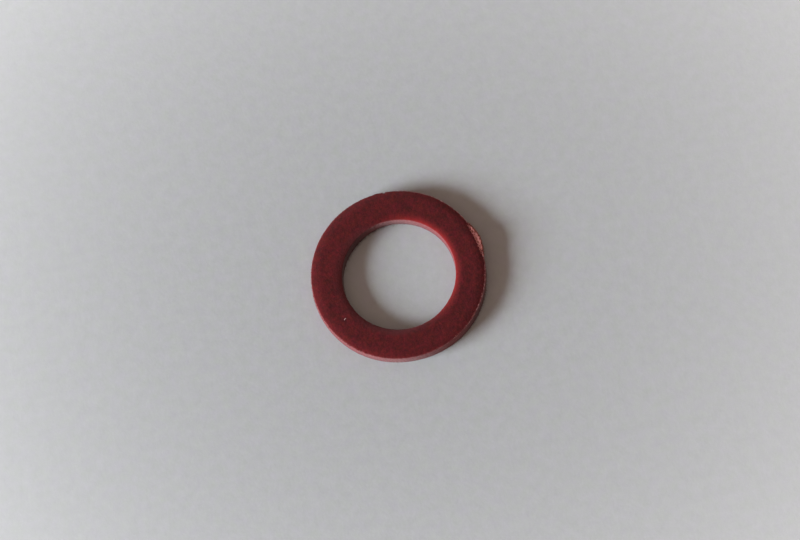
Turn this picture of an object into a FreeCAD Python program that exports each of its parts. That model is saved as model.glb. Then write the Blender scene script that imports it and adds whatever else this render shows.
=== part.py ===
import FreeCAD, Part
import os
from math import atan2, pi
import Sketcher
from FreeCAD import Placement, Rotation, Vector

# A sealing washer punched in one stroke out of red vulcanised fibre sheet.
#
# Frame: millimetres, origin on the axis of the bore at the underside, +Z up through the face that
# the die drew in. The rim was punched a little off the axis of the bore.
#
# One stroke of the die makes both walls. Each has the same three zones from the top down: an edge
# that was drawn in and rounded over, a straight land, and a lower zone that broke away with a
# slight draft. The drawn edges are wide, so the face between them is flat only in the middle. The
# rim also has a torn patch, where its top layers came off and a frayed lip stands out, and a nick.

# Driving sizes in millimetres, or in degrees where the meaning says so

SIZES = {
    "bore_diameter": (12.1, "bore, across the land"),
    "ring_width": (3.2, "from the land of the bore to the land of the rim, on average"),
    "thickness": (1.6, "thickness of the sheet"),
    "rim_shift_x": (-0.09, "centre of the rim from the axis of the bore, along X"),
    "rim_shift_y": (0.04, "centre of the rim from the axis of the bore, along Y"),
    "rim_roll_width": (1.15, "rounded top edge of the rim, along the face"),
    "rim_roll_drop": (0.2, "rounded top edge of the rim, down the wall"),
    "rim_break_height": (0.5, "height of the broken zone of the rim"),
    "rim_break_lean": (0.01, "how far the broken zone of the rim leans in"),
    "bore_roll_width": (0.9, "rounded top edge of the bore, along the face"),
    "bore_roll_drop": (0.21, "rounded top edge of the bore, down the wall"),
    "bore_break_height": (0.5, "height of the broken zone of the bore"),
    "bore_break_lean": (0.01, "how far the broken zone of the bore leans out"),
    "lip_width": (4.0, "frayed lip, from end to end along the rim"),
    "lip_reach": (0.27, "how far the frayed lip stands out of the rim"),
    "lip_depth": (0.65, "underside of the frayed lip below the top face"),
    "lip_height": (0.6, "height of the frayed lip before the tear takes its top off"),
    "tear_angle": (9.5, "degrees from +X round the rim to the middle of the tear and its lip"),
    "tear_radius": (30.0, "radius in plan of the edge that the tear leaves in the face"),
    "tear_depth": (0.3, "how far the tear cuts into the rim"),
    "tear_drop": (0.14, "ledge that the tear leaves, below the top face"),
    "nick_angle": (84.5, "degrees from +X round the rim to the nick"),
    "nick_radius": (0.15, "radius of the nick in plan"),
    "nick_depth": (0.1, "how far the nick cuts into the rim"),
    "nick_drop": (0.7, "foot of the nick, below the top face"),
}

doc = FreeCAD.newDocument("fibre_washer")
sheet = doc.addObject("Spreadsheet::Sheet", "sizes")
for row, (alias, (value, meaning)) in enumerate(SIZES.items(), start=1):
    sheet.set(f"A{row}", meaning)
    sheet.set(f"B{row}", str(value))
    sheet.setAlias(f"B{row}", alias)
doc.recompute()

# The same values as numbers, to draw each sketch near its solution before the sheet drives it
now = {alias: value for alias, (value, meaning) in SIZES.items()}
bore_radius = now["bore_diameter"] / 2
rim_radius = bore_radius + now["ring_width"]
top = now["thickness"]

# The same two radii as formulas on the sheet
BORE_RADIUS = "sizes.bore_diameter / 2"
RIM_RADIUS = f"{BORE_RADIUS} + sizes.ring_width"

# Sketch helpers

START, END, CENTRE = range(1, 4)
X_AXIS = -1
ORIGIN = (X_AXIS, START)
ACROSS, UP = "DistanceX", "DistanceY"


def line(x1, y1, x2, y2):
    """A straight sketch edge."""
    return Part.LineSegment(Vector(x1, y1, 0), Vector(x2, y2, 0))


def arc(x, y, radius, first, last):
    """A round sketch edge about a centre, anticlockwise from the first angle to the last."""
    return Part.ArcOfCircle(Part.Circle(Vector(x, y, 0), Vector(0, 0, 1), radius), first, last)


def new_sketch(body, name, role, moves, turn=None):
    """An empty sketch on an origin plane of the body, moved and turned as the sheet says.

    moves maps a direction in the plane's own axes to the formula of the move along it, and turn
    is the formula of the angle about the axis square to the plane.
    """
    sketch = body.newObject("Sketcher::SketchObject", name)
    plane = next(feature for feature in body.Origin.OriginFeatures if feature.Role == role)
    sketch.AttachmentSupport = [(plane, "")]
    sketch.MapMode = "FlatFace"
    if turn:
        sketch.AttachmentOffset = Placement(Vector(0, 0, 0), Rotation(Vector(0, 0, 1), 1))
        sketch.setExpression(".AttachmentOffset.Rotation.Angle", turn)
    for direction, formula in moves.items():
        sketch.setExpression(f".AttachmentOffset.Base.{direction}", formula)
    return sketch


def join(sketch, *pairs):
    """Makes both sketch points of each pair one point."""
    for first, second in pairs:
        sketch.addConstraint(Sketcher.Constraint("Coincident", *first, *second))


def bind(sketch, name, formula, kind, *where):
    """A size of the sketch, tied to the sheet by a formula and starting at its value."""
    value = float(sketch.evalExpression(formula))
    index = sketch.addConstraint(Sketcher.Constraint(kind, *where, value))
    sketch.renameConstraint(index, name)
    sketch.setExpression(f"Constraints.{name}", formula)


# The rim and the bore


def wall_profile(sketch, wall, land_radius, land_formula, side):
    """Half section from the axis out to a punched wall, to be turned about the axis.

    wall is rim or bore and names its sizes in the sheet. side is -1 for the rim, whose rounded
    edge and broken zone lie inside the land, and 1 for the bore, where they lie outside it.
    """
    roll_width, roll_drop = now[f"{wall}_roll_width"], now[f"{wall}_roll_drop"]
    break_height = now[f"{wall}_break_height"]
    foot = land_radius + side * now[f"{wall}_break_lean"]
    brow = land_radius + side * roll_width
    roll_radius = (roll_width**2 + roll_drop**2) / (2 * roll_drop)
    roll_foot = atan2(roll_radius - roll_drop, -side * roll_width)
    outside = side > 0
    first, last = (pi / 2, roll_foot) if outside else (roll_foot, pi / 2)
    low_end, high_end = (END, START) if outside else (START, END)

    floor, broken, land, roll, face, axis = sketch.addGeometry([
        line(0, 0, foot, 0),
        line(foot, 0, land_radius, break_height),
        line(land_radius, break_height, land_radius, top - roll_drop),
        arc(brow, top - roll_radius, roll_radius, first, last),
        line(brow, top, 0, top),
        line(0, top, 0, 0),
    ])
    join(
        sketch,
        ((floor, START), ORIGIN),
        ((floor, END), (broken, START)),
        ((broken, END), (land, START)),
        ((land, END), (roll, low_end)),
        ((face, END), (axis, START)),
        ((axis, END), (floor, START)),
    )
    sketch.addConstraint([
        Sketcher.Constraint("Tangent", roll, high_end, face, START),
        Sketcher.Constraint("Horizontal", floor),
        Sketcher.Constraint("Vertical", land),
        Sketcher.Constraint("Horizontal", face),
        Sketcher.Constraint("Vertical", axis),
    ])
    bind(sketch, "land_radius", land_formula, ACROSS, *ORIGIN, land, START)
    bind(sketch, "height", "sizes.thickness", UP, *ORIGIN, axis, START)
    bind(sketch, "break_height", f"sizes.{wall}_break_height", UP, *ORIGIN, land, START)
    bind(sketch, "break_lean", f"{side} * sizes.{wall}_break_lean", ACROSS, land, START, floor, END)
    bind(sketch, "roll_width", f"{side} * sizes.{wall}_roll_width", ACROSS, land, END, face, START)
    bind(sketch, "roll_drop", f"sizes.{wall}_roll_drop", UP, land, END, face, START)


def turn_profile(body, kind, name, sketch):
    """Turns a profile once round the upright axis of its sketch."""
    feature = body.newObject(kind, name)
    feature.Profile = sketch
    feature.ReferenceAxis = (sketch, ["V_Axis"])
    sketch.Visibility = False


# The axes of the upright plane are X, Z and -Y of the washer, so a move along +Y is its -z
RIM_CENTRE_UPRIGHT = {"x": "sizes.rim_shift_x", "z": "-sizes.rim_shift_y"}
RIM_CENTRE_FLAT = {"x": "sizes.rim_shift_x", "y": "sizes.rim_shift_y"}


def make_blank(body):
    """The punched disc with its rounded top edge."""
    profile = new_sketch(body, "rim_profile", "XZ_Plane", RIM_CENTRE_UPRIGHT)
    wall_profile(profile, "rim", rim_radius, RIM_RADIUS, -1)
    turn_profile(body, "PartDesign::Revolution", "blank", profile)


def make_bore(body):
    """The punched hole with its rounded top edge."""
    profile = new_sketch(body, "bore_profile", "XZ_Plane", {})
    wall_profile(profile, "bore", bore_radius, BORE_RADIUS, 1)
    turn_profile(body, "PartDesign::Groove", "bore", profile)


# The tear, its lip and the nick


def make_lip(body):
    """The frayed lip: a thin crescent that stands out of the rim."""
    moves = {**RIM_CENTRE_FLAT, "z": "sizes.thickness - sizes.lip_depth"}
    sketch = new_sketch(body, "lip_outline", "XY_Plane", moves, turn="sizes.tear_angle")
    half_width = now["lip_width"] / 2
    root = (rim_radius**2 - half_width**2) ** 0.5
    swell = rim_radius + now["lip_reach"] - root
    curve = (half_width**2 + swell**2) / (2 * swell)
    spread = atan2(half_width, curve - swell)
    edge, chord, rim, tip = sketch.addGeometry([
        arc(root + swell - curve, 0, curve, -spread, spread),
        line(root, half_width, root, -half_width),
        Part.Circle(Vector(0, 0, 0), Vector(0, 0, 1), rim_radius),
        Part.Point(Vector(rim_radius + now["lip_reach"], 0, 0)),
    ])
    sketch.setConstruction(rim, True)
    sketch.setConstruction(tip, True)
    join(
        sketch,
        ((rim, CENTRE), ORIGIN),
        ((edge, END), (chord, START)),
        ((edge, START), (chord, END)),
    )
    sketch.addConstraint([
        Sketcher.Constraint("PointOnObject", edge, START, rim),
        Sketcher.Constraint("PointOnObject", edge, END, rim),
        Sketcher.Constraint("Vertical", chord),
        Sketcher.Constraint("PointOnObject", tip, START, X_AXIS),
        Sketcher.Constraint("PointOnObject", tip, START, edge),
    ])
    bind(sketch, "rim_radius", RIM_RADIUS, "Radius", rim)
    bind(sketch, "width", "sizes.lip_width", UP, chord, END, chord, START)
    bind(sketch, "reach", f"{RIM_RADIUS} + sizes.lip_reach", ACROSS, *ORIGIN, tip, START)

    lip = body.newObject("PartDesign::Pad", "lip")
    lip.Profile = sketch
    lip.setExpression("Length", "sizes.lip_height")
    sketch.Visibility = False


def make_bite(body, bite):
    """A round bite out of the top of the rim, with a level floor.

    bite is tear or nick and names its sizes in the sheet. The tear is part of so wide a round that
    its edge in the face is nearly straight.
    """
    radius, depth = now[f"{bite}_radius"], now[f"{bite}_depth"]
    moves = {**RIM_CENTRE_FLAT, "z": "sizes.thickness"}
    sketch = new_sketch(body, f"{bite}_outline", "XY_Plane", moves, turn=f"sizes.{bite}_angle")
    centre = Vector(rim_radius + radius - depth, 0, 0)
    (edge,) = sketch.addGeometry([Part.Circle(centre, Vector(0, 0, 1), radius)])
    sketch.addConstraint(Sketcher.Constraint("PointOnObject", edge, CENTRE, X_AXIS))
    bind(sketch, "radius", f"sizes.{bite}_radius", "Radius", edge)
    out_formula = f"{RIM_RADIUS} + sizes.{bite}_radius - sizes.{bite}_depth"
    bind(sketch, "out", out_formula, ACROSS, *ORIGIN, edge, CENTRE)

    pocket = body.newObject("PartDesign::Pocket", bite)
    pocket.Profile = sketch
    pocket.setExpression("Length", f"sizes.{bite}_drop")
    sketch.Visibility = False


# The washer

washer = doc.addObject("PartDesign::Body", "washer")
washer.Label = "washer"
washer.Placement = Placement(Vector(0, 0, 0), Rotation())
make_blank(washer)
make_lip(washer)
make_bite(washer, "tear")
make_bite(washer, "nick")
make_bore(washer)
doc.recompute()

# Checks before anything is written

for item in doc.Objects:
    if {"Invalid", "Error"} & set(item.State):
        raise RuntimeError(f"{item.Name} did not build: {item.State}")
if washer.Shape.isNull() or not washer.Shape.isValid() or len(washer.Shape.Solids) != 1:
    raise RuntimeError("the washer is not one valid solid")

os.makedirs("parts", exist_ok=True)
washer.Shape.exportStep(f"parts/{washer.Label}.step")
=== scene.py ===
from math import asin, cos, degrees, pi, radians, sin, sqrt, tan
from random import Random

import bmesh
import bpy
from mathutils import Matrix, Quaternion, Vector, noise


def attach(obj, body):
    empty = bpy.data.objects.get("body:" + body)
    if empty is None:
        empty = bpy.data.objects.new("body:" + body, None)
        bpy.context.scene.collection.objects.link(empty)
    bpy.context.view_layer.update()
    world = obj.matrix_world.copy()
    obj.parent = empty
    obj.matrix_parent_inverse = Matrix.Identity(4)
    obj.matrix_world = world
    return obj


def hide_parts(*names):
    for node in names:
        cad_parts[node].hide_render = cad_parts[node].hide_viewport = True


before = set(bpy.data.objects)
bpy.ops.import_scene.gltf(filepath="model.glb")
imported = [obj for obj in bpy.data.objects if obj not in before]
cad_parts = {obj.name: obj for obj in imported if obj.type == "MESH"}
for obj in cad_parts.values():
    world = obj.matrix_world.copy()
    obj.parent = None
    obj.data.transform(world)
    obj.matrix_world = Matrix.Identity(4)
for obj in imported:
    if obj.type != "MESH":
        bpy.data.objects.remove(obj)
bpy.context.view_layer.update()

# A sealing washer punched out of red vulcanised fibre sheet, lying on paper by a window.
#
# The mesh code works in millimetres in the frame of the part's source: origin on the axis of the
# bore at the underside, +Z up. Angles are in degrees from +X, at the rim about the rim's own
# centre and at the bore about the origin. From its foot up, a punched wall has a broken zone, a
# straight land and a rounded edge, which is called its roll.

MM = 0.001

# Sizes that the part's source also has. A roll is (how far along the face, how far down), and a
# broken zone is (how high, how far it leans in at the foot).

SHEET = 1.6
RIM_RADIUS = 9.25
RIM_CENTRE = (-0.09, 0.04)
RIM_ROLL = (1.15, 0.2)
RIM_BREAK = (0.5, 0.01)
BORE_RADIUS = 6.05
BORE_ROLL = (0.9, 0.21)
BORE_BREAK = (0.5, 0.01)
LIP_WIDTH = 4.0
LIP_REACH = 0.27
LIP_FLOOR = 0.95
TEAR_ANGLE = 9.5
TEAR_RADIUS = 30.0
TEAR_DEPTH = 0.3
LEDGE = 1.46
NICK_ANGLE = 84.5
NICK_RADIUS = 0.15
NICK_DEPTH = 0.1
NICK_FLOOR = 0.9

# Sizes that only the scene has

RIM_FUZZ = 0.06  # how far the loosened fibres of the cut stand out at the foot
BORE_FUZZ = 0.07
FUZZ_FADE = 0.7  # power by which fuzz and nap get less with height
FOOT_HEIGHTS = (0.012, 0.035)  # the lowest points of a wall, which draws in there by FOOT_SLOPE
FOOT_SLOPE = 0.3
BREAK_START = 0.07  # height of the next point
LOW_WANDER = 0.35  # share of an edge's unevenness that the broken zone below it has
FACE_STEPS = 18
FLOOR_STEPS = 11
FLOOR_MARGIN = 0.006  # share of the underside between a foot and the first point inside it
STATIONS = 860  # sections round the ring
STATION_STEP = 0.05
TEAR_SHIFT = 0.07  # how much further out the torn patch's edge lies than in the source
TEAR_BLEND = 0.09  # depth of the tear at which it has its full effect
LEDGE_RISE = 0.09  # how much higher the ledge gets towards the lip, before it drops
LEDGE_DROP = 0.06
LIP_LAYER = 0.13
LIP_SHARES = (0.4, 1.35)  # least and most of the lip's reach that its ragged outline leaves

# Places round the ring, each as (angle, half width, height) of a soft bump

RIM_WEAR = (  # teeth, dips and worn stretches of the top edge, in millimetres outwards
    (228.1, 1.1, 0.05),
    (231.0, 1.5, -0.07),
    (233.4, 0.8, 0.03),
    (89.5, 4.0, 0.04),
    (203.0, 0.9, 0.03),
    (246.5, 0.9, 0.03),
    (193.0, 55.0, -0.064),
)
BORE_WEAR = ((28.0, 62.0, 0.055),)
RIM_NAP = ((303.0, 42.0, 0.10), (320.0, 50.0, 0.07))  # more fuzz at the foot, in millimetres
BORE_NAP = ((127.0, 40.0, 0.09),)
# darker, redder cut wall where the window light grazes it, painted shade
RIM_CUT_RED_SHADE = ((272.0, 50.0, 0.8),)
# darker cut wall below its top edge on the shaded side, painted shade
RIM_CUT_DARK_SHADE = ((318.0, 42.0, 0.75),)
# greyer rim roll on the shaded side, painted haze
RIM_ROLL_PAINTED_HAZE = ((335.0, 95.0, 0.3),)
TEAR_TUFTS = (  # angles from the tear's middle, and millimetres upwards
    (-2.9, 2.2, 0.05),
    (8.4, 2.0, 0.025),
    (2.5, 2.0, 0.01),
)

# The bore's roll gets a painted red glow on its lit side, which fades with the angle from the
# middle of that side; further round, its roll gets painted haze and its cut wall painted shade

BORE_LIT_MIDDLE = 7.5
BORE_PAINTED_GLOW_FADE = (38.0, 100.0)
BORE_SHADED_SIDE_FADE = (82.0, 122.0)
BORE_ROLL_PAINTED_GLOW = 0.93
BORE_ROLL_PAINTED_HAZE = 0.8

# Places with closer stations: (angle, half width, where the fade ends, how much denser)

FINE_PLACES = ((TEAR_ANGLE, 13.0, 17.0, 1.6), (NICK_ANGLE, 2.0, 4.0, 1.2), (229.0, 6.0, 9.0, 0.8))

# The attributes "wall", "torn" and "roll" away from those surfaces, and "wall" on the underside

NO_WALL = -1.0
NOT_TORN = -1.0
NO_ROLL = 0.0
FLOOR_WALL = -0.5

# Stands for no limit, where a radius is limited

FAR_OUT = 99.0

# Small helpers


def smooth(low, high, x):
    """0 below low, 1 above high, and a soft step between them."""
    t = min(1.0, max(0.0, (x - low) / (high - low)))
    return t * t * (3 - 2 * t)


def apart(first, second):
    """Difference of two angles in degrees, from -180 to 180."""
    return (first - second + 180) % 360 - 180


def humps(angle, places):
    """Sum of soft bumps at this angle."""
    return sum(height * (1 - smooth(0.0, half_width, abs(apart(angle, middle))))
               for middle, half_width, height in places)


def lump_place(x, y, z, size, seed):
    """Where to look up noise whose lumps are as large as size."""
    return Vector((x / size + seed, y / size - seed, z / size + 0.5 * seed))


def grain(x, y, z, size, seed):
    """Noise from about -1 to 1."""
    return noise.noise(lump_place(x, y, z, size, seed))


def rough(x, y, z, size, octaves, seed):
    """Noise with finer lumps on it."""
    return noise.fractal(lump_place(x, y, z, size, seed), 0.9, 2.1, octaves)


def spread(low, high, count, ends=True):
    """count values from low to high, the last of them at high if ends is true."""
    steps = count - 1 if ends else count
    return [low + (high - low) * i / steps for i in range(count)]


def finish_mesh(bm, name):
    """Makes an object of a bmesh."""
    bmesh.ops.recalc_face_normals(bm, faces=bm.faces)
    mesh = bpy.data.meshes.new(name)
    bm.to_mesh(mesh)
    bm.free()
    mesh.shade_smooth()
    made = bpy.data.objects.new(name, mesh)
    bpy.context.scene.collection.objects.link(made)
    return made


# The punched walls


class Section:
    """One point of a wall's section: how far out and up it is and what its surface is.

    kind is break, land or roll. wall is above 0 inside the cut wall and below 0 on the roll, and
    roll goes from 0 at the face to 1 at the land.
    """

    def __init__(self, reach, height, kind, wall, roll=0.0):
        self.reach, self.height, self.kind, self.wall, self.roll = reach, height, kind, wall, roll


def roll_point(roll, t):
    """Point on a roll, t from 0 at the face to 1 at the land: (how far along, how far down)."""
    width, drop = roll
    radius = (width**2 + drop**2) / (2 * drop)
    angle = t * asin(width / radius)
    return radius * sin(angle), radius * (1 - cos(angle))


class Wall:
    """One punched wall, with its section from the foot up to the start of the flat face.

    side is 1 for the rim and -1 for the bore: the fibre of the ring is always at radius - side.
    counts are the numbers of points on the broken zone, the land and the roll. wear and nap list
    places round the ring, and wander is the share of the edge's general unevenness.
    """

    def __init__(self, side, centre, radius, roll, broken, fuzz, counts,
                 wear, nap, wander, wander_seed, grain_seed):
        self.side, self.centre, self.radius, self.broken = side, centre, radius, broken
        self.wear, self.nap, self.wander = wear, nap, wander
        self.wander_seed, self.grain_seed = wander_seed, grain_seed
        self.top = SHEET - roll[1]
        self.brow = radius - side * roll[0]
        break_count, land_count, roll_count = counts
        height, lean = broken

        def reach(z, inset):
            return radius - side * inset + side * fuzz * (1 - z / self.top)**FUZZ_FADE

        self.sections = []
        for z in (*FOOT_HEIGHTS, *spread(BREAK_START, height, break_count, False)):
            inset = lean * (1 - z / height) + FOOT_SLOPE * max(0.0, FOOT_HEIGHTS[-1] - z)
            self.sections.append(Section(reach(z, inset), z, "break", z))
        for z in spread(height, self.top, land_count, False):
            self.sections.append(Section(reach(z, 0.0), z, "land", self.top - z))
        for t in spread(1.0, 0.0, roll_count):
            along, down = roll_point(roll, t)
            inset = roll[0] - along
            self.sections.append(Section(radius - side * inset, SHEET - down, "roll", -inset, t))


RIM = Wall(1, RIM_CENTRE, RIM_RADIUS, RIM_ROLL, RIM_BREAK, RIM_FUZZ, counts=(7, 17, 19),
           wear=RIM_WEAR, nap=RIM_NAP, wander=1.0, wander_seed=0.0, grain_seed=0.0)
BORE = Wall(-1, (0, 0), BORE_RADIUS, BORE_ROLL, BORE_BREAK, BORE_FUZZ, counts=(6, 12, 16),
            wear=BORE_WEAR, nap=BORE_NAP, wander=0.8, wander_seed=30.0, grain_seed=10.0)


def place_at(centre, angle, radius, height):
    """A point by its angle and radius about a centre."""
    a = radians(angle)
    return Vector((centre[0] + radius * cos(a), centre[1] + radius * sin(a), height))


def edge_wander(wall, angle):
    """Slow and quick unevenness of a punched edge, in millimetres."""
    x, y, _ = place_at(wall.centre, angle, wall.radius, 0)
    slow = grain(x, y, 0, 2.6, wall.wander_seed) * 0.012
    quick = rough(x, y, 0, 0.34, 3, wall.wander_seed + 5.1) * 0.016
    return wall.wander * (slow + quick)


def cut_grain(kind, x, y, z, seed):
    """Fine unevenness of a cut wall: scratched and layered on the land, crumbly below it."""
    if kind == "land":
        scratches = 0.007 * rough(x, y, z * 0.25, 0.12, 3, seed + 2.2)
        layers = 0.010 * rough(x * 0.25, y * 0.25, z, 0.075, 3, seed + 9.2)
        return scratches + layers
    crumbs = 0.022 * rough(x, y, z * 1.6, 0.22, 4, seed + 4.4) * smooth(0.0, 0.1, z)
    layers = 0.010 * rough(x * 0.3, y * 0.3, z, 0.06, 3, seed + 9.9)
    return crumbs + layers


def cut_point(wall, section, angle, x, y):
    """Where a point of a wall's section goes at this angle: (radius, height)."""
    radius, height = section.reach, section.height
    uneven = edge_wander(wall, angle) + humps(angle, wall.wear)
    if section.kind == "roll":
        height += 0.006 * grain(x, y, 0, 0.5, 7.7) * (1 - section.roll)
        return radius + uneven * section.roll**1.5, height
    radius += uneven * (LOW_WANDER + (1 - LOW_WANDER) * smooth(wall.broken[0], wall.top, height))
    radius += cut_grain(section.kind, x, y, height, wall.grain_seed)
    nap = humps(angle, wall.nap) * max(0.0, 1 - height / wall.top)**FUZZ_FADE
    return radius + wall.side * nap, height


# The torn patch and the nick


def lip_reach(turn):
    """How far the frayed lip stands out of the rim, turn degrees round from its middle."""
    half = LIP_WIDTH / 2
    root = sqrt(RIM_RADIUS**2 - half**2)
    swell = RIM_RADIUS + LIP_REACH - root
    curve = (half**2 + swell**2) / (2 * swell)
    middle = root + swell - curve
    angle = radians(turn)
    if abs(turn) > degrees(asin(half / RIM_RADIUS)):
        return 0.0
    outline = middle * cos(angle) + sqrt(curve**2 - (middle * sin(angle))**2)
    return max(0.0, outline - RIM_RADIUS)


def pocket_radius(angle, middle, radius, depth):
    """Radius that a round pocket cut depth into the rim leaves, or a large one outside it."""
    turn = radians(apart(angle, middle))
    out = RIM_RADIUS + radius - depth
    off = out * sin(turn)
    if abs(off) >= radius or cos(turn) < 0:
        return FAR_OUT
    return out * cos(turn) - sqrt(radius**2 - off**2)


def tear_edge(angle):
    """Radius of the torn patch's ragged edge in the face."""
    edge = pocket_radius(angle, TEAR_ANGLE, TEAR_RADIUS, TEAR_DEPTH)
    return edge + TEAR_SHIFT + 0.025 * rough(angle, 0, 0, 1.6, 3, 3.3)


def torn_point(section, angle, x, y, radius, height):
    """Moves a point of the rim where the rim is torn: (radius, height, torn)."""
    edge = tear_edge(angle)
    share = smooth(0.0, TEAR_BLEND, RIM_RADIUS - edge)
    if share == 0 or section.kind == "break":
        return radius, height, NOT_TORN
    turn = apart(angle, TEAR_ANGLE)
    ragged = 1.0 + 0.50 * rough(angle, 0, 0, 1.3, 3, 1.7)
    ragged += 0.22 * rough(x, y, height, 0.1, 3, 8.8)
    least, most = LIP_SHARES
    out = lip_reach(turn) * max(least, min(most, ragged))

    if section.kind == "roll":
        # The ledge, which rises in tufts towards the lip and drops at its very end
        inside = section.reach - edge
        if inside > 0:
            across = inside / (RIM_RADIUS - edge)
            radius += share * (out + 0.02) * across
            shelf = LEDGE + (LEDGE_RISE + humps(turn, TEAR_TUFTS)) * across
            shelf += 0.022 * rough(x, y, 0, 0.24, 4, 5.5) * smooth(0.0, 0.12, inside)
            shelf -= LEDGE_DROP * smooth(0.88, 1.0, across)
            height += (shelf - height) * share * smooth(0.0, 0.03, inside)
        return radius, height, inside if share > 0.5 else inside - 0.1 * (1 - 2 * share)

    # The lip, in thin layers above a ragged lower limit
    low = LIP_FLOOR + 0.30 * (turn / 12.0)**2 + 0.12 * rough(angle, 0, 0, 1.9, 3, 6.1)
    rise = smooth(low - 0.03, low + 0.08, height)
    layers = 0.78 + 0.22 * sin(height * 2 * pi / LIP_LAYER + 3.5 * grain(x, y, 0, 0.4, 2.9))
    near_top = smooth(1.25, 1.38, height)
    radius += share * out * rise * (layers + (1 - layers) * near_top)
    height += share * near_top * (LEDGE - 0.03 - RIM.top)
    return radius, height, 0.3 * share * rise - 0.4 * (1 - share)


def nicked(section, angle, x, y, radius, height):
    """The radius of a point of the rim after the nick."""
    limit = pocket_radius(angle, NICK_ANGLE, NICK_RADIUS, NICK_DEPTH)
    if section.kind != "break" and radius > limit and height > NICK_FLOOR:
        return limit + 0.01 * grain(x, y, height, 0.08, 1.1)
    return radius


# The ring


def rim_tone(section, angle):
    """The roll attribute of the rim: on the roll, above 0 redder and below 0 painted haze on its
    shaded side; on the cut wall, above 0 darker and redder painted shade where the window light
    grazes it, and below 0 darker painted shade on its shaded side.
    """
    if section.kind == "roll":
        return 0.18 * section.roll**3 - humps(angle, RIM_ROLL_PAINTED_HAZE) * section.roll**1.2
    dark_shade = humps(angle, RIM_CUT_DARK_SHADE) * smooth(0.05, 0.32, RIM.top - section.height)
    return humps(angle, RIM_CUT_RED_SHADE) - dark_shade


def bore_tone(section, angle):
    """The roll attribute of the bore: a painted red glow on the roll where the bore's wall faces
    the light, and on the opposite side painted haze on the roll and painted shade on the wall.
    """
    turn = abs(apart(angle, BORE_LIT_MIDDLE))
    red, shaded_side = 1 - smooth(*BORE_PAINTED_GLOW_FADE, turn), smooth(*BORE_SHADED_SIDE_FADE, turn)
    if section.kind == "roll":
        return BORE_ROLL_PAINTED_GLOW * red * section.roll**2 - BORE_ROLL_PAINTED_HAZE * shaded_side * section.roll**1.2
    return -shaded_side


def face_height(x, y):
    """Slight waviness and small dents of the rolled sheet's face."""
    waves, dents = rough(x, y, 0, 1.5, 3, 2.6), rough(x, y, 0, 0.32, 3, 8.1)
    return SHEET - 0.004 + 0.005 * waves + 0.004 * dents


def wall_points(wall, angle):
    """A wall's section at this angle, from the foot up: (x, y, z, wall, torn, roll)."""
    points = []
    for section in wall.sections:
        a = radians(angle)
        x, y = section.reach * cos(a), section.reach * sin(a)
        radius, height = cut_point(wall, section, angle, x, y)
        torn = NOT_TORN
        if wall is RIM:
            radius, height, torn = torn_point(section, angle, x, y, radius, height)
            radius = nicked(section, angle, x, y, radius, height)
        x, y = wall.centre[0] + radius * cos(a), wall.centre[1] + radius * sin(a)
        if section.kind == "roll":
            height += (face_height(x, y) - SHEET) * (1 - section.roll)
        tone = rim_tone(section, angle) if wall is RIM else bore_tone(section, angle)
        points.append((x, y, height, section.wall, torn, tone))
    return points


def ring_points(angle):
    """The ring's section at this angle, once round: (x, y, z, wall, torn, roll)."""
    rim, bore = wall_points(RIM, angle), wall_points(BORE, angle)
    outer, inner = (place_at(wall.centre, angle, wall.brow, 0).xy for wall in (RIM, BORE))
    face = [outer.lerp(inner, i / FACE_STEPS) for i in range(1, FACE_STEPS)]
    outer, inner = Vector(rim[0][:2]), Vector(bore[0][:2])
    floor = [inner.lerp(outer, t) for t in spread(FLOOR_MARGIN, 1 - FLOOR_MARGIN, FLOOR_STEPS + 1)]
    return [
        *rim,
        *((x, y, face_height(x, y), NO_WALL, NOT_TORN, NO_ROLL) for x, y in face),
        *reversed(bore),
        *((x, y, 0.0, FLOOR_WALL, NOT_TORN, NO_ROLL) for x, y in floor),
    ]


def stations():
    """Angles of the ring's sections in degrees, closer together at the fine places."""
    total, sums = 0.0, []
    for i in range(int(360 / STATION_STEP)):
        density = 1.0
        for middle, half_width, end, extra in FINE_PLACES:
            off = abs(apart(i * STATION_STEP, middle))
            density += extra * (1 - smooth(half_width, end, off))
        total += density
        sums.append(total)
    found, k = [], 0
    for i in range(STATIONS):
        while sums[k] < total * i / STATIONS:
            k += 1
        found.append(k * STATION_STEP)
    return found


def make_ring():
    """The whole washer as one closed mesh, with attributes that tell its surfaces apart."""
    bm = bmesh.new()
    layers = [bm.verts.layers.float.new(name) for name in ("wall", "torn", "roll")]
    rows = []
    for angle in stations():
        row = []
        for x, y, z, *values in ring_points(angle):
            vert = bm.verts.new((x * MM, y * MM, z * MM))
            for layer, value in zip(layers, values):
                vert[layer] = value
            row.append(vert)
        rows.append(row)
    for row, after in zip(rows, rows[1:] + rows[:1]):
        for j in range(len(row)):
            k = (j + 1) % len(row)
            bm.faces.new((row[j], after[j], after[k], row[k]))
    return finish_mesh(bm, "washer_ring")


# Loose fibres

FIBRE_TAPER = 0.75
FIBRE_CEILING = SHEET + 0.04
NAP_FLOOR = 0.9
LOWEST_FOOT_ANGLE = 288
TORN_HALF_ANGLE = 11.5
FRAY_HALF_ANGLE = 11.0

# Single tufts on the rim's edge: (angle, length, width)

SINGLE_TUFTS = (
    (-3.0, 0.2, 0.05), (-2.4, 0.15, 0.04), (26.0, 0.1, 0.05), (27.2, 0.08, 0.04),
    (-17.0, 0.08, 0.05), (297.0, 0.12, 0.04), (299.0, 0.09, 0.03), (314.0, 0.12, 0.05),
    (316.0, 0.08, 0.04), (330.0, 0.1, 0.04), (342.0, 0.1, 0.04), (203.0, 0.06, 0.04),
    (246.0, 0.06, 0.04), (229.5, 0.07, 0.05),
)


def outwards(angle, lift, swing):
    """A direction away from the axis, raised by lift and swung round by swing, in degrees."""
    a, e = radians(angle + swing), radians(lift)
    return Vector((cos(a) * cos(e), sin(a) * cos(e), sin(e)))


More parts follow.
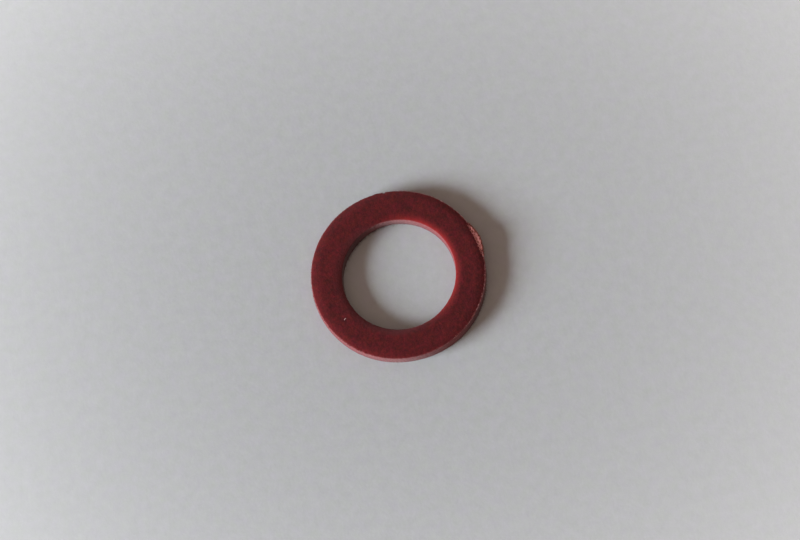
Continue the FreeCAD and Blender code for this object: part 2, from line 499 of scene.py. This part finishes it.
class Fibres:
    """Loose fibres in one mesh, drawn with their own seeded random numbers."""

    def __init__(self, seed):
        self.bm, self.random = bmesh.new(), Random(seed)

    def add(self, start, direction, length, width, curl, steps=4):
        """A thin tapering fibre that starts at a point and curls as it goes."""
        direction = direction.normalized()
        side = direction.orthogonal().normalized()
        side.rotate(Quaternion(direction, self.random.uniform(0, 2 * pi)))
        place, rings = start.copy(), []
        for i in range(steps):
            half = 0.5 * width * (1 - FIBRE_TAPER * i / (steps - 1))
            across = direction.cross(side).normalized()
            place.z = min(max(place.z, half), FIBRE_CEILING - half)
            rings.append([self.bm.verts.new((place + (side * cos(a) + across * sin(a)) * half) * MM)
                          for a in (0.0, 2 * pi / 3, 4 * pi / 3)])
            place = place + direction * (length / (steps - 1))
            direction = (direction + side * curl / (steps - 1)).normalized()
            side = (side - direction * side.dot(direction)).normalized()
        for low, high in zip(rings, rings[1:]):
            for k in range(3):
                after = (k + 1) % 3
                self.bm.faces.new((low[k], low[after], high[after], high[k]))
        self.bm.faces.new(list(reversed(rings[0])))
        self.bm.faces.new(rings[-1])

    def grow(self, wall, angle, depth, height, *, lift, swing, length, width, curl, steps=4):
        """One fibre that starts depth inside a wall.

        lift and swing are (middle, spread) in degrees, and length and width are (least, most).
        """
        start = place_at(wall.centre, angle, wall.radius - wall.side * depth, height)
        facing = angle if wall is RIM else angle + 180
        way = outwards(facing, self.random.gauss(*lift), self.random.gauss(*swing))
        self.add(start, way, self.random.uniform(*length), self.random.uniform(*width),
                 self.random.gauss(0, curl), steps)


def make_edge_fibres():
    """The nap of short cut fibres along both punched walls."""
    fibres = Fibres(11)
    random = fibres.random
    for _ in range(620):
        angle, height = random.uniform(0, 360), RIM.top - random.expovariate(1 / 0.05)
        if height >= NAP_FLOOR:
            fibres.grow(RIM, angle, 0.02, height, lift=(8, 22), swing=(0, 38),
                        length=(0.05, 0.13), width=(0.012, 0.03), curl=0.6)
    for _ in range(260):
        angle, height = random.gauss(318, 20), RIM.top - abs(random.gauss(0, 0.035))
        fibres.grow(RIM, angle, 0.02, height, lift=(12, 16), swing=(0, 50),
                    length=(0.06, 0.13), width=(0.025, 0.045), curl=0.8)
    for _ in range(420):
        angle, height = random.uniform(0, 360), random.uniform(0.04, 0.75)
        fibres.grow(RIM, angle, 0.05, height, lift=(0, 25), swing=(0, 55),
                    length=(0.05, 0.13), width=(0.012, 0.028), curl=0.8)
    for _ in range(420):
        angle, height = random.uniform(0, 360), random.uniform(0.05, 1.42)
        fibres.grow(BORE, angle, 0.02, height, lift=(0, 25), swing=(0, 50),
                    length=(0.04, 0.1), width=(0.012, 0.028), curl=0.8)
    for _ in range(900):
        angle, height = random.uniform(-42, 78), RIM.top + random.gauss(-0.02, 0.03)
        fibres.grow(RIM, angle, 0.03, height, lift=(4, 14), swing=(0, 45),
                    length=(0.06, 0.20), width=(0.012, 0.026), curl=0.7)
    for _ in range(760):
        angle, height = random.uniform(118, 240), RIM.top - abs(random.gauss(0, 0.12))
        fibres.grow(RIM, angle, 0.02, height, lift=(0, 16), swing=(0, 40),
                    length=(0.05, 0.14), width=(0.012, 0.026), curl=0.7)
    return finish_mesh(fibres.bm, "edge_fibres")


def make_foot_shade_fibres():
    """Dark loose fibres at the foot of both walls on their shaded sides, painted shade that makes
    the foot look soft.
    """
    fibres = Fibres(7)
    random = fibres.random
    for _ in range(300):
        angle, height = random.gauss(122, 15), random.uniform(0.02, 0.24)
        fibres.grow(BORE, angle, -0.05, height, lift=(0, 8), swing=(0, 40),
                    length=(0.16, 0.42), width=(0.010, 0.021), curl=0.7)
    for _ in range(420):
        angle = random.gauss(317, 15)
        if angle >= LOWEST_FOOT_ANGLE:
            fibres.grow(RIM, angle, -0.03, random.uniform(0.02, 0.24), lift=(0, 8), swing=(0, 40),
                        length=(0.14, 0.38), width=(0.010, 0.021), curl=0.7)
    return finish_mesh(fibres.bm, "foot_shade_fibres")


def make_torn_fibres():
    """The frayed fibres of the torn patch, and the single pale tufts round the rim."""
    fibres = Fibres(5)
    random = fibres.random
    for _ in range(330):
        turn = random.gauss(0, 5.2)
        if abs(turn) > TORN_HALF_ANGLE:
            continue
        angle, t = TEAR_ANGLE + turn, random.uniform(0, 1)
        radius = RIM_RADIUS - 0.26 + (0.24 + lip_reach(turn)) * t
        height = SHEET - 0.09 - 0.09 * t + random.uniform(-0.02, 0.03)
        swing = random.choice((-1, 1)) * random.uniform(35, 100)
        way = outwards(angle, random.gauss(6, 10), swing)
        fibres.add(place_at(RIM_CENTRE, angle, radius, height), way, random.uniform(0.12, 0.34),
                   random.uniform(0.02, 0.045), random.gauss(0, 0.7), 5)
    for _ in range(110):
        turn = random.gauss(0, 5.0)
        if abs(turn) <= FRAY_HALF_ANGLE:
            depth, height = 0.04 - 0.6 * lip_reach(turn), random.uniform(1.05, SHEET - 0.12)
            fibres.grow(RIM, TEAR_ANGLE + turn, depth, height, lift=(4, 16), swing=(0, 50),
                        length=(0.08, 0.2), width=(0.014, 0.03), curl=0.9, steps=5)
    for _ in range(700):
        turn = random.uniform(-12.5, 12.5)
        depth, height = 0.03 - 0.8 * lip_reach(turn), random.uniform(0.9, SHEET - 0.14)
        fibres.grow(RIM, TEAR_ANGLE + turn, depth, height, lift=(-4, 14), swing=(0, 50),
                    length=(0.10, 0.27), width=(0.016, 0.032), curl=0.8)
    for angle, length, width in SINGLE_TUFTS:
        for _ in range(4):
            place, height = angle + random.gauss(0, 0.3), SHEET - 0.13 + random.uniform(-0.03, 0.02)
            start = place_at(RIM_CENTRE, place, RIM_RADIUS - 0.06, height)
            way = outwards(angle, random.gauss(8, 8), random.gauss(0, 35))
            fibres.add(start, way, length * random.uniform(0.8, 1.2), width,
                       random.gauss(0, 0.5), 5)
    return finish_mesh(fibres.bm, "torn_fibres")


def make_face_fleck():
    """The one pale fibre that is stuck to the face."""
    fibres = Fibres(3)
    start = place_at(RIM_CENTRE, 206.5, 7.5, SHEET + 0.006)
    way = Vector((0.78, 0.62, 0.0))
    fibres.add(start, way, 0.30, 0.075, 0.35, 6)
    fibres.add(start + Vector((0.03, 0.04, 0.0)), way, 0.2, 0.06, -0.3, 5)
    return finish_mesh(fibres.bm, "face_fleck")


# Materials


class Nodes:
    """Short calls for the nodes that the materials use."""

    def __init__(self, name):
        self.material = bpy.data.materials.new(name)
        self.material.use_nodes = True
        self.tree = self.material.node_tree
        self.tree.nodes.clear()
        self.out = self.new("ShaderNodeOutputMaterial")
        self.shader = self.new("ShaderNodeBsdfPrincipled")
        self.link(self.shader.outputs["BSDF"], self.out.inputs["Surface"])
        self.place = self.new("ShaderNodeTexCoord").outputs["Object"]

    def new(self, kind):
        return self.tree.nodes.new(kind)

    def link(self, start, end):
        self.tree.links.new(start, end)

    def put(self, socket, value):
        """Links a socket, or sets a plain value."""
        if isinstance(value, bpy.types.NodeSocket):
            self.link(value, socket)
        else:
            socket.default_value = value

    def math(self, operation, a, b, c=0.0, clamp=False):
        node = self.new("ShaderNodeMath")
        node.operation, node.use_clamp = operation, clamp
        for socket, value in zip(node.inputs, (a, b, c)):
            self.put(socket, value)
        return node.outputs[0]

    def scale(self, colour, factor):
        """A colour times a factor."""
        node = self.new("ShaderNodeVectorMath")
        node.operation = "SCALE"
        self.link(colour, node.inputs[0])
        self.link(factor, node.inputs["Scale"])
        return node.outputs[0]

    def axes(self):
        """The place's X, Y and Z, in metres."""
        node = self.new("ShaderNodeSeparateXYZ")
        self.link(self.place, node.inputs[0])
        return node.outputs

    def attribute(self, name):
        node = self.new("ShaderNodeAttribute")
        node.attribute_name = name
        return node.outputs["Fac"]

    def noise(self, size_mm, stretch=(1, 1, 1), turn=0.0, detail=3.0, roughness=0.55, shift=0.0):
        """Noise from 0 to 1 with lumps of size_mm, longer along axes with a stretch above 1."""
        mapping = self.new("ShaderNodeMapping")
        mapping.vector_type = "TEXTURE"
        mapping.inputs["Location"].default_value = (shift * MM, -shift * MM, 0)
        mapping.inputs["Rotation"].default_value = (0, 0, turn)
        mapping.inputs["Scale"].default_value = stretch
        self.link(self.place, mapping.inputs["Vector"])
        node = self.new("ShaderNodeTexNoise")
        node.inputs["Scale"].default_value = 1 / (size_mm * MM)
        node.inputs["Detail"].default_value = detail
        node.inputs["Roughness"].default_value = roughness
        self.link(mapping.outputs["Vector"], node.inputs["Vector"])
        return node.outputs["Fac"]

    def span(self, value, low, high, start=0.0, end=1.0, kind="SMOOTHSTEP"):
        """Maps value from low..high to start..end."""
        node = self.new("ShaderNodeMapRange")
        node.interpolation_type = kind
        self.put(node.inputs["Value"], value)
        node.inputs["From Min"].default_value = low
        node.inputs["From Max"].default_value = high
        node.inputs["To Min"].default_value = start
        node.inputs["To Max"].default_value = end
        return node.outputs["Result"]

    def evenly(self, value, start, end, margin=0.25):
        """Maps the usual range of a noise in a straight line to start..end."""
        return self.span(value, margin, 1 - margin, start, end, "LINEAR")

    def mix(self, share, a, b):
        """Mixes two colours."""
        node = self.new("ShaderNodeMix")
        node.data_type = "RGBA"
        self.put(node.inputs["Factor"], share)
        self.put(node.inputs["A"], a)
        self.put(node.inputs["B"], b)
        return node.outputs["Result"]

    def bump(self, height, distance_mm, normal=None):
        node = self.new("ShaderNodeBump")
        node.inputs["Distance"].default_value = distance_mm * MM
        self.put(node.inputs["Height"], height)
        if normal is not None:
            self.link(normal, node.inputs["Normal"])
        return node.outputs["Normal"]

    def finish(self, colour, roughness, normal, specular, sheen=0.0):
        """Sets the shader's sockets."""
        self.put(self.shader.inputs["Base Color"], colour)
        self.put(self.shader.inputs["Roughness"], roughness)
        self.shader.inputs["Specular IOR Level"].default_value = specular
        self.shader.inputs["Sheen Weight"].default_value = sheen
        self.shader.inputs["Sheen Roughness"].default_value = 0.5
        if normal is not None:
            self.link(normal, self.shader.inputs["Normal"])
        return self.material


FACE_RED = (0.082, 0.0025, 0.0070, 1)
FACE_BROWN = (0.072, 0.0045, 0.0032, 1)
FACE_DARK = (0.048, 0.0025, 0.0040, 1)
FACE_LIGHT = (0.118, 0.0070, 0.0090, 1)
# redder rounded edges, and on the bore's lit side a painted red glow
ROLL_RED = (0.225, 0.0100, 0.0100, 1)
# greyer rolls on the shaded sides, painted haze
ROLL_PAINTED_HAZE = (0.105, 0.0240, 0.0280, 1)
CUT_PINK = (0.245, 0.057, 0.060, 1)
# darker, redder cut wall where the window light grazes it, painted shade
CUT_RED_SHADE = (0.180, 0.018, 0.020, 1)
CUT_DEEP = (0.145, 0.030, 0.034, 1)
CUT_PALE = (0.360, 0.130, 0.125, 1)
# darker towards the foot of the cut walls, painted shade
CUT_FOOT_SHADE = (0.120, 0.028, 0.034, 1)
# dark cut walls and foot fibres on the shaded sides, painted shade
CUT_DARK_SHADE = (0.050, 0.019, 0.026, 1)
TORN_PINK = (0.350, 0.122, 0.112, 1)
TORN_DEEP = (0.225, 0.062, 0.044, 1)
FUZZ_PALE = (0.460, 0.235, 0.225, 1)
FLECK_PALE = (0.620, 0.400, 0.390, 1)

FELT_TURNS = (0.25, 1.05, 1.85, 2.65)
FOOT_SHADE_TOP = 1.1


def felt(nodes):
    """The face's felted fibres: streaks in four directions, from 0 to 1."""
    total = None
    for k, turn in enumerate(FELT_TURNS):
        streak = nodes.noise(0.055, (9.0, 1.0, 1.0), turn, 2.0, 0.5, 3.7 * k)
        streak = nodes.span(streak, 0.52, 0.74)
        total = streak if total is None else nodes.math("MAXIMUM", total, streak)
    return total


def skin_colour(nodes, fibres, blotch, roll):
    """The dark rolled skin of the face, with its redder rounded edges, a painted red glow on the
    bore's lit side and painted haze on the rolls' shaded sides.
    """
    hue = nodes.noise(0.75, detail=2.0, roughness=0.5, shift=29.0)
    cloud = nodes.noise(1.9, detail=2.0, shift=11.0)
    speck = nodes.noise(0.17, detail=2.0, shift=5.0)
    dark_speck = nodes.noise(0.24, detail=2.0, shift=17.0)
    grained = nodes.noise(0.48, detail=4.0, roughness=0.80, shift=41.0)
    skin = nodes.mix(nodes.span(hue, 0.36, 0.64), FACE_BROWN, FACE_RED)
    skin = nodes.mix(nodes.span(blotch, 0.34, 0.68, 0.62, 0.0), skin, FACE_DARK)
    skin = nodes.mix(nodes.math("MULTIPLY", fibres, 0.70), skin, FACE_LIGHT)
    skin = nodes.mix(nodes.span(cloud, 0.40, 0.70, 0.0, 0.30), skin, FACE_LIGHT)
    skin = nodes.mix(nodes.span(speck, 0.60, 0.74, 0.0, 0.25), skin, ROLL_RED)
    skin = nodes.mix(nodes.span(dark_speck, 0.54, 0.70, 0.0, 0.55), skin, FACE_DARK)
    skin = nodes.scale(skin, nodes.evenly(grained, 0.44, 1.37))
    # the die-drawn redness of the rolls, and on the bore's lit side a painted red glow
    drawn = nodes.math("MULTIPLY", roll, nodes.evenly(blotch, 0.8, 1.2, 0.3), clamp=True)
    skin = nodes.mix(drawn, skin, ROLL_RED)
    # painted haze on the rolls' shaded sides
    return nodes.mix(nodes.math("MULTIPLY", roll, -1.0, clamp=True), skin, ROLL_PAINTED_HAZE)


def cut_colour(nodes, lumps, roll):
    """Cut walls: fibres seen end on, in thin layers, with upright scratches from the die, and
    painted shade towards the foot and on their shaded sides.
    """
    layers = nodes.noise(0.05, (14.0, 14.0, 1.0), detail=3.0)
    upright = nodes.noise(0.06, (1.0, 1.0, 14.0), detail=2.0, shift=2.0)
    # darker towards the foot, painted shade
    foot = nodes.span(nodes.axes()["Z"], 0.0, FOOT_SHADE_TOP * MM, 0.75, 0.0)
    cut = nodes.mix(nodes.span(layers, 0.34, 0.68, 0.25, 1.0), CUT_DEEP, CUT_PINK)
    cut = nodes.mix(nodes.span(upright, 0.52, 0.76, 0.0, 0.40), cut, CUT_PALE)
    cut = nodes.mix(nodes.span(lumps, 0.52, 0.72, 0.0, 0.55), cut, CUT_DEEP)
    cut = nodes.mix(foot, cut, CUT_FOOT_SHADE)
    # painted shade on the shaded sides
    cut = nodes.mix(nodes.math("MULTIPLY", roll, -0.85, clamp=True), cut, CUT_DARK_SHADE)
    # darker and redder where the window light grazes the wall, painted shade
    return nodes.mix(nodes.math("MAXIMUM", roll, 0.0, clamp=True), cut, CUT_RED_SHADE)


def torn_colour(nodes, lumps):
    """The torn patch: the pale inside of the sheet, with fibres along the rim."""
    strands = nodes.noise(0.05, (1.0, 5.0, 1.0), radians(TEAR_ANGLE), 3.0)
    tear = nodes.mix(nodes.span(lumps, 0.30, 0.55), TORN_DEEP, TORN_PINK)
    return nodes.mix(nodes.span(strands, 0.5, 0.7, 0.0, 0.45), tear, CUT_PALE)


def washer_material():
    """Red vulcanised fibre: dark rolled skin, redder rounded edges, pale cut and torn surfaces,
    with painted glow, haze and shade where the roll attribute puts them.
    """
    nodes = Nodes("vulcanised_fibre")
    fibres = felt(nodes)
    blotch = nodes.noise(0.42, detail=3.0, roughness=0.6)
    lumps = nodes.noise(0.22, detail=3.0, shift=9.0)
    roll = nodes.attribute("roll")
    skin = skin_colour(nodes, fibres, blotch, roll)
    cut = cut_colour(nodes, lumps, roll)
    tear = torn_colour(nodes, lumps)

    ragged = nodes.evenly(nodes.noise(0.10, detail=3.0, shift=21.0), -0.06, 0.06)
    wall = nodes.math("ADD", nodes.attribute("wall"), ragged)
    torn = nodes.math("ADD", nodes.attribute("torn"), ragged)
    colour = nodes.mix(nodes.span(wall, -0.14, 0.0, 0.0, 0.30), skin, cut)
    colour = nodes.mix(nodes.span(wall, -0.02, 0.025), colour, cut)
    colour = nodes.mix(nodes.span(torn, -0.01, 0.03), colour, tear)

    relief = nodes.noise(0.24, detail=3.0, roughness=0.65, shift=13.0)
    fine = nodes.noise(0.03, detail=2.0, shift=4.0)
    normal = None
    for height, distance in ((fibres, 0.006), (blotch, 0.02), (relief, 0.045), (fine, 0.005)):
        normal = nodes.bump(height, distance, normal)
    roughness = nodes.evenly(fibres, 0.80, 0.92, 0.0)
    return nodes.finish(colour, roughness, normal, specular=0.08, sheen=0.17)


def fibre_material(name, deep, light):
    """Loose fibres: the inside of the sheet."""
    nodes = Nodes(name)
    tone = nodes.noise(0.25, detail=2.0)
    colour = nodes.mix(nodes.span(tone, 0.38, 0.64), deep, light)
    return nodes.finish(colour, nodes.evenly(tone, 0.7, 0.9, 0.3), None, specular=0.08)


# The paper under the washer. It is lighter further out, by the square and the fourth power of the
# distance in units, and towards +X: painted light, not a tone of the paper itself.

PAPER_HALF = 400.0
PAPER = (0.390, 0.398, 0.411)
PAPER_UNIT = 40.0
PAPER_BOWL = 0.107
PAPER_BOWL_FAR = 0.0075
PAPER_BOWL_END = 1.8
PAPER_TILT_X = 0.010
PAPER_TILT_END = 1.2
PAPER_FLECK = 0.023
PAPER_TINT = 0.020
TINT_SHARES = (0.3, -0.25, 1.0)


def paper_material():
    """Plain paper, with slight flecks and tints, and painted light that makes it lighter further
    out and towards +X.
    """
    nodes = Nodes("paper")
    axes = nodes.axes()
    x, y = (nodes.math("MULTIPLY", axes[name], 1 / (PAPER_UNIT * MM)) for name in "XY")
    square = nodes.math("MULTIPLY_ADD", x, x, nodes.math("MULTIPLY", y, y))
    square = nodes.math("MINIMUM", square, PAPER_BOWL_END)
    x = nodes.math("MAXIMUM", nodes.math("MINIMUM", x, PAPER_TILT_END), -PAPER_TILT_END)
    tone = nodes.math("MULTIPLY", square, PAPER_BOWL)
    fourth = nodes.math("MULTIPLY", square, square)
    tone = nodes.math("MULTIPLY_ADD", fourth, PAPER_BOWL_FAR, tone)
    tone = nodes.math("MULTIPLY_ADD", x, PAPER_TILT_X, tone)
    fleck = nodes.noise(1.1, detail=5.0, roughness=0.7)
    tone = nodes.math("ADD", tone, nodes.evenly(fleck, -PAPER_FLECK, PAPER_FLECK))
    tint = nodes.noise(1.3, detail=4.0, roughness=0.65, shift=7.0)
    tint = nodes.evenly(tint, -PAPER_TINT, PAPER_TINT)
    colour = nodes.new("ShaderNodeCombineColor")
    for channel, base, share in zip(("Red", "Green", "Blue"), PAPER, TINT_SHARES):
        level = nodes.math("MULTIPLY_ADD", tint, share, nodes.math("ADD", tone, base))
        nodes.link(level, colour.inputs[channel])
    normal = nodes.bump(nodes.noise(0.35, detail=3.0, shift=3.0), 0.008)
    return nodes.finish(colour.outputs["Color"], 0.9, normal, specular=0.1)


def make_floor():
    """A sheet of paper under the washer."""
    bm = bmesh.new()
    half = PAPER_HALF * MM
    corners = ((-half, -half), (half, -half), (half, half), (-half, half))
    bm.faces.new([bm.verts.new((x, y, 0.0)) for x, y in corners])
    mesh = bpy.data.meshes.new("paper")
    bm.to_mesh(mesh)
    bm.free()
    paper = bpy.data.objects.new("paper", mesh)
    bpy.context.scene.collection.objects.link(paper)
    mesh.materials.append(paper_material())


# Light: a window low on the left, and a dim warm room that is brighter above

KEY_AZIMUTH = 188.0
KEY_ELEVATION = 19.1
KEY_DISTANCE = 1.0
KEY_SPREAD = (27.8, 20.6)
KEY_POWER = 24.2
KEY_COLOUR = (0.90, 1.0, 1.05)
ROOM_COLOUR = (1.0, 0.75, 0.62, 1)
ROOM_EVEN = 0.245
ROOM_ABOVE = 0.1764


def make_light():
    """The window as a soft rectangular lamp, and the room as a glow from all sides."""
    lamp = bpy.data.lights.new("window", "AREA")
    lamp.shape = "RECTANGLE"
    lamp.size, lamp.size_y = (2 * KEY_DISTANCE * tan(radians(angle / 2)) for angle in KEY_SPREAD)
    lamp.energy = KEY_POWER
    lamp.color = KEY_COLOUR
    window = bpy.data.objects.new("window", lamp)
    way = outwards(KEY_AZIMUTH, KEY_ELEVATION, 0)
    window.location = way * KEY_DISTANCE
    window.rotation_mode = "QUATERNION"
    window.rotation_quaternion = way.to_track_quat("Z", "Y")
    bpy.context.scene.collection.objects.link(window)

    world = bpy.data.worlds.new("room")
    world.use_nodes = True
    tree = world.node_tree
    background = next(node for node in tree.nodes if node.type == "BACKGROUND")
    background.inputs["Color"].default_value = ROOM_COLOUR
    way_in = tree.nodes.new("ShaderNodeSeparateXYZ")
    tree.links.new(tree.nodes.new("ShaderNodeTexCoord").outputs["Generated"], way_in.inputs[0])
    glow = tree.nodes.new("ShaderNodeMath")
    glow.operation = "MULTIPLY_ADD"
    tree.links.new(way_in.outputs["Z"], glow.inputs[0])
    glow.inputs[1].default_value = ROOM_ABOVE
    glow.inputs[2].default_value = ROOM_EVEN
    tree.links.new(glow.outputs[0], background.inputs["Strength"])
    bpy.context.scene.world = world


# Camera, as the photograph was taken. PIXEL is what one of its pixels covers, in millimetres.

CAMERA_ELEVATION = 72.868
CAMERA_ROLL = 15.53
CAMERA_DISTANCE = 308.2
CAMERA_LENS = 130.5
CAMERA_SENSOR = 36.0
PIXEL = 1 / 9.409
AIM_RIGHT = 1.15 * PIXEL
AIM_UP = 7.92 * PIXEL


def make_camera():
    """Looks down on the washer; the aim is a little off its middle, as in the photograph."""
    data = bpy.data.cameras.new("camera")
    data.lens, data.sensor_width = CAMERA_LENS, CAMERA_SENSOR
    data.clip_start, data.clip_end = 0.01, 10.0
    camera = bpy.data.objects.new("camera", data)
    e = radians(CAMERA_ELEVATION)
    back = Vector((0, -cos(e), sin(e)))
    turn = (-back).to_track_quat("-Z", "Y") @ Quaternion((0, 0, 1), -radians(CAMERA_ROLL))
    aim = Vector((*RIM_CENTRE, 0)) + turn @ Vector((AIM_RIGHT, AIM_UP, 0))
    camera.rotation_mode = "QUATERNION"
    camera.rotation_quaternion = turn
    camera.location = (aim + back * CAMERA_DISTANCE) * MM
    bpy.context.scene.collection.objects.link(camera)
    bpy.context.scene.camera = camera


make_camera()
make_light()
make_floor()

ring = make_ring()
ring.data.materials.append(washer_material())
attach(ring, "root")
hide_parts("washer")

for piece, deep, light in (
    (make_edge_fibres(), CUT_PINK, FUZZ_PALE),
    # dark foot fibres, painted shade
    (make_foot_shade_fibres(), CUT_DARK_SHADE, CUT_DEEP),
    (make_torn_fibres(), TORN_DEEP, TORN_PINK),
    (make_face_fleck(), CUT_PALE, FLECK_PALE),
):
    piece.data.materials.append(fibre_material(piece.name + "_tone", deep, light))
    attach(piece, "root")

bpy.context.scene.view_settings.view_transform = "Standard"
